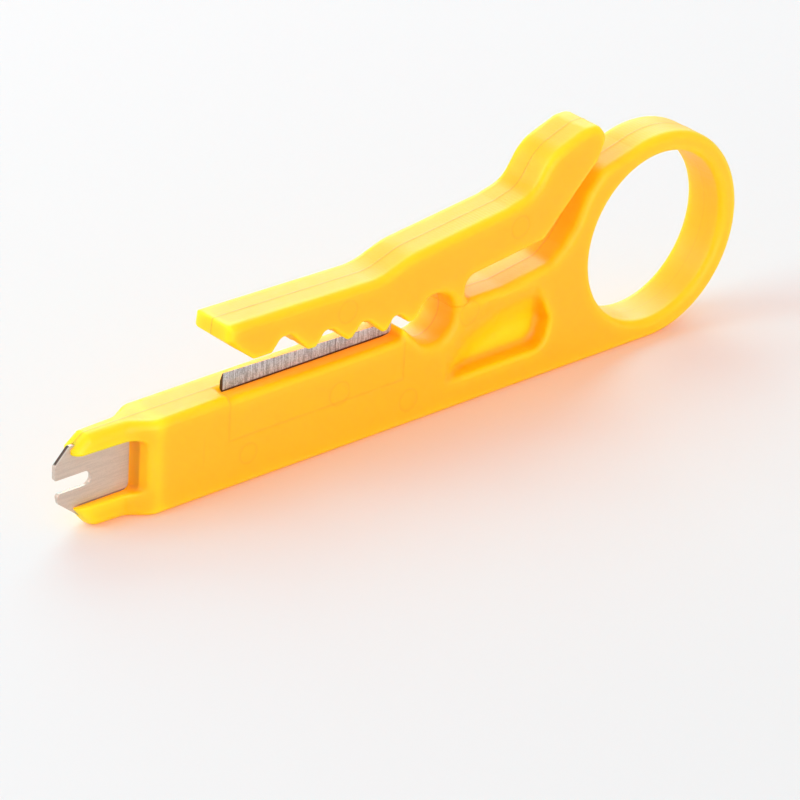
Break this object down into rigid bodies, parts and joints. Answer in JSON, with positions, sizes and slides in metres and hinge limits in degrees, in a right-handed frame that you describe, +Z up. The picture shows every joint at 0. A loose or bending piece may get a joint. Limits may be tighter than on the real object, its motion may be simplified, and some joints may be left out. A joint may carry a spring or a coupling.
{
  "type": "punch_down_tool",
  "caption": "Flat yellow plastic punch down tool with a finger ring, a slotted steel blade in the nose and a sprung toothed arm over a stripping blade.",
  "frame": {"origin": "middle of the lower edge, on the surface the tool stands on", "axes": "X runs along the tool from the blade end to the finger ring, Z up, Y through the thickness"},
  "size_m": [0.0902, 0.0058, 0.0272],
  "materials": {
    "yellow_plastic": "moulded polypropylene, warm yellow, fine spark-eroded texture",
    "blade_steel": "stamped steel plate, bare",
    "ground_steel": "ground blade stock with fine upright grinding marks"
  },
  "bodies": {
    "handle": {"nose": "yellow_plastic", "handle_bar": "yellow_plastic", "hinge_block": "yellow_plastic", "finger_ring": "yellow_plastic", "punch_down_blade": "blade_steel", "stripping_blade": "ground_steel", "living_hinge": "yellow_plastic"},
    "arm": {"stripper_arm": "yellow_plastic"}
  },
  "joints": [
    {"name": "arm_flex", "type": "hinge", "parent": "handle", "child": "arm", "pos_m": [0.0055, 0, 0.01255], "axis": [0, 1, 0], "range_deg": [-3, 5.2], "stiffness_Nm_per_rad": 0.9, "deforming": ["living_hinge"]}
  ]
}
